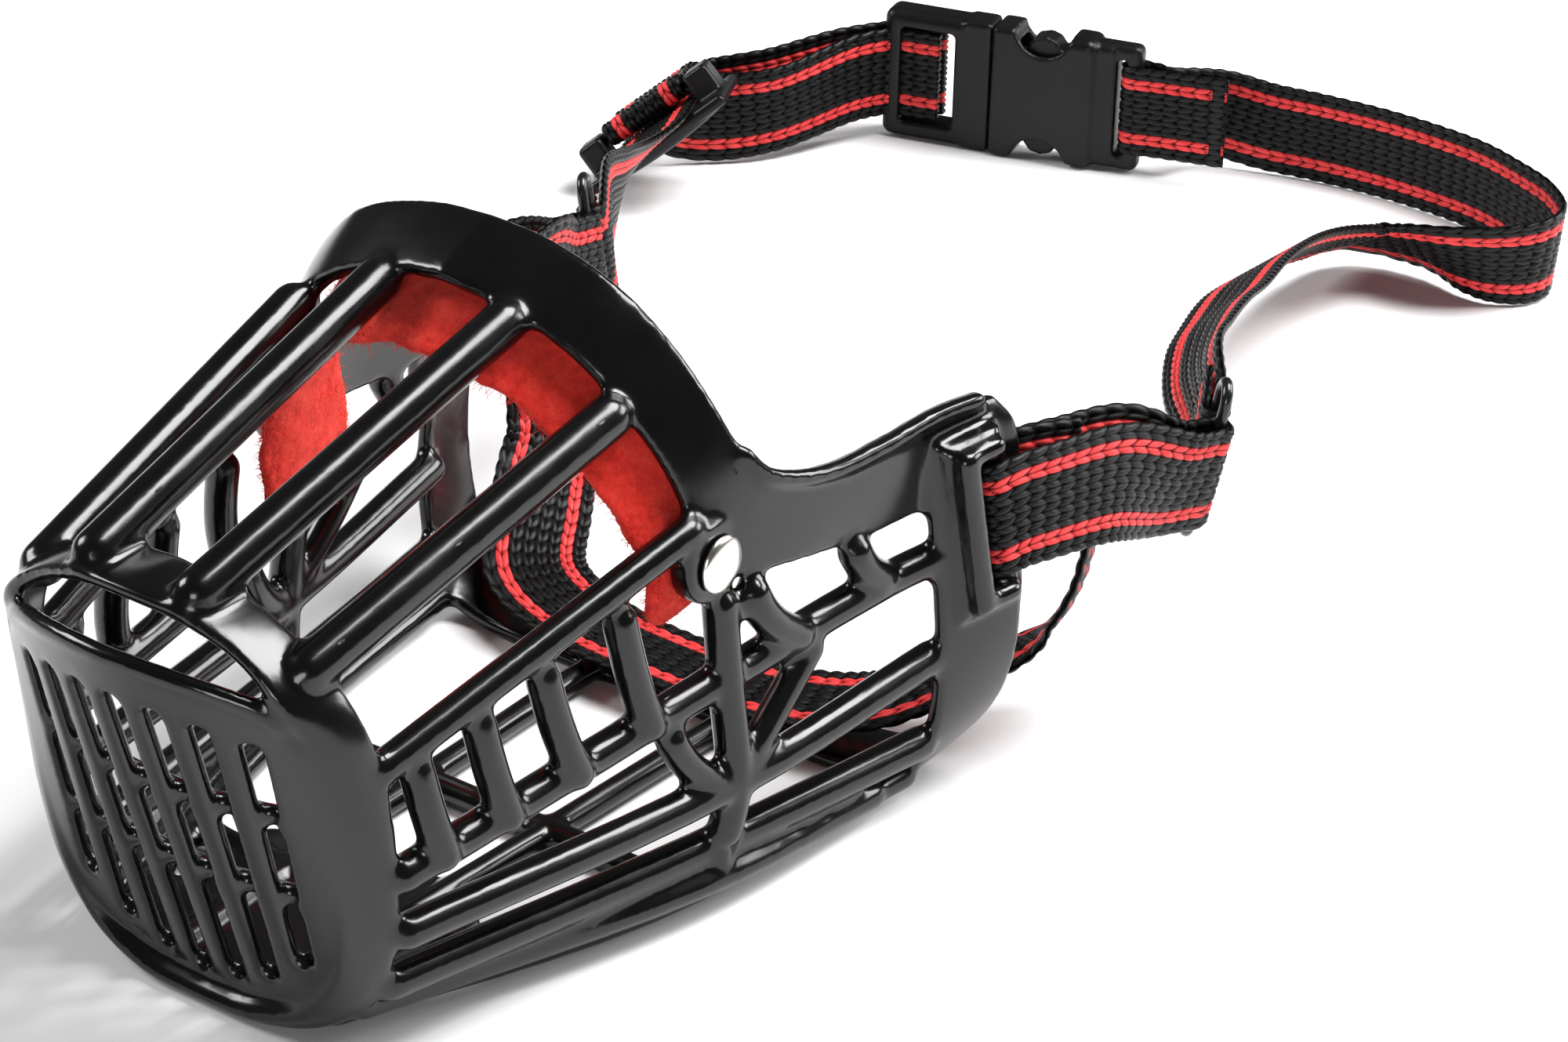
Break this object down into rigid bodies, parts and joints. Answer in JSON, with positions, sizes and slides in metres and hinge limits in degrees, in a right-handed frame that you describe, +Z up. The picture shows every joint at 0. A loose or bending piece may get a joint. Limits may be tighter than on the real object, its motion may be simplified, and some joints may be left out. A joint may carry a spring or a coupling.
{
  "type": "basket muzzle",
  "caption": "Moulded plastic basket muzzle with a slotted nose grille, felt nose pad, riveted arch, webbing side tabs, throat strap and an adjustable neck strap with a side-release buckle.",
  "frame": {"origin": "middle of the rear band's flat underside, which the muzzle rests on", "axes": "+Z up, -Y towards the nose grille, +X the left side of the muzzle"},
  "size_m": [0.2555, 0.4635, 0.1238],
  "materials": {
    "basket_plastic": "glossy black moulded plastic",
    "buckle_plastic": "satin black acetal",
    "ring_enamel": "black enamelled wire",
    "nickel": "polished nickel plate",
    "red_felt": "thick red wool felt",
    "webbing": "black woven webbing with two red stripes"
  },
  "bodies": {
    "muzzle": {"muzzle_basket": "basket_plastic", "nose_pad": "red_felt", "rivet_cap_left": "nickel", "rivet_cap_right": "nickel", "rivet_back_left": "nickel", "rivet_back_right": "nickel", "ring_left": "ring_enamel", "ring_right": "ring_enamel", "side_tab_left": "webbing", "side_tab_right": "webbing", "throat_strap": "webbing"},
    "neck_loop": {"neck_strap_fixed": "webbing", "neck_strap_lower": "webbing", "buckle_female": "buckle_plastic"},
    "buckle_male": {"buckle_male": "buckle_plastic", "neck_strap_loop": "webbing"},
    "prong_upper": {"prong_upper": "buckle_plastic"},
    "prong_lower": {"prong_lower": "buckle_plastic"},
    "slider": {"slider": "buckle_plastic", "neck_strap_tail": "webbing"}
  },
  "joints": [
    {"name": "neck_strap_lift", "type": "hinge", "parent": "muzzle", "child": "neck_loop", "pos_m": [0, 0.0695, 0.0475], "axis": [1, 0, 0], "range_deg": [-35, 95], "deforming": ["neck_strap_fixed", "neck_strap_lower"]},
    {"name": "buckle_release", "type": "slide", "parent": "neck_loop", "child": "buckle_male", "axis": [-0.9659, -0.259, 0], "range_m": [0, 0.027], "deforming": ["neck_strap_loop", "prong_upper", "prong_lower"]},
    {"name": "prong_upper_flex", "type": "hinge", "parent": "buckle_male", "child": "prong_upper", "pos_m": [-0.10564, 0.26576, 0.0253], "axis": [-0.259, 0.9659, 0], "range_deg": [0, 9], "stiffness_Nm_per_rad": 0.008},
    {"name": "prong_lower_flex", "type": "hinge", "parent": "buckle_male", "child": "prong_lower", "pos_m": [-0.10564, 0.26576, 0.0093], "axis": [0.259, -0.9659, 0], "range_deg": [0, 9], "stiffness_Nm_per_rad": 0.008},
    {"name": "slider_travel", "type": "slide", "parent": "neck_loop", "child": "slider", "axis": [0.4759, -0.8658, 0.155], "range_m": [0, 0.02], "deforming": ["neck_strap_lower", "neck_strap_loop"]}
  ]
}
